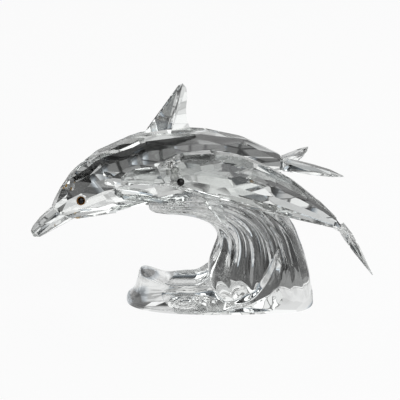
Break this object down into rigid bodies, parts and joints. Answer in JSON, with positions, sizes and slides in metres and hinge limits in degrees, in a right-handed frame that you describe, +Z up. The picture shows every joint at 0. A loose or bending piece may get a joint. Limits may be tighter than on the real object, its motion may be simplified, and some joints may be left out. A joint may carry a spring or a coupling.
{
  "type": "dolphin figurine",
  "caption": "Faceted clear glass figurine of a large and a small dolphin leaping over a fluted wave that curls above a low pool and stands on a flat base.",
  "frame": {"origin": "centre of the wave's flat underside", "axes": "+Z up from the underside, +X from the dolphins' heads to their tails, +Y away from the small dolphin's side"},
  "size_m": [0.1703, 0.085, 0.1094],
  "materials": {
    "crystal": "polished clear",
    "black_bead": "polished",
    "amber_bead": "polished"
  },
  "bodies": {
    "root": {"wave_base": "crystal", "large_dolphin_body": "crystal", "large_dolphin_beak": "crystal", "large_dolphin_dorsal_fin": "crystal", "large_dolphin_left_flipper": "crystal", "large_dolphin_right_flipper": "crystal", "large_dolphin_flukes": "crystal", "large_dolphin_left_eye": "amber_bead", "large_dolphin_right_eye": "amber_bead", "small_dolphin_body": "crystal", "small_dolphin_beak": "crystal", "small_dolphin_left_flipper": "crystal", "small_dolphin_right_flipper": "crystal", "small_dolphin_flukes": "crystal", "small_dolphin_left_eye": "black_bead", "small_dolphin_right_eye": "black_bead"}
  },
  "joints": []
}
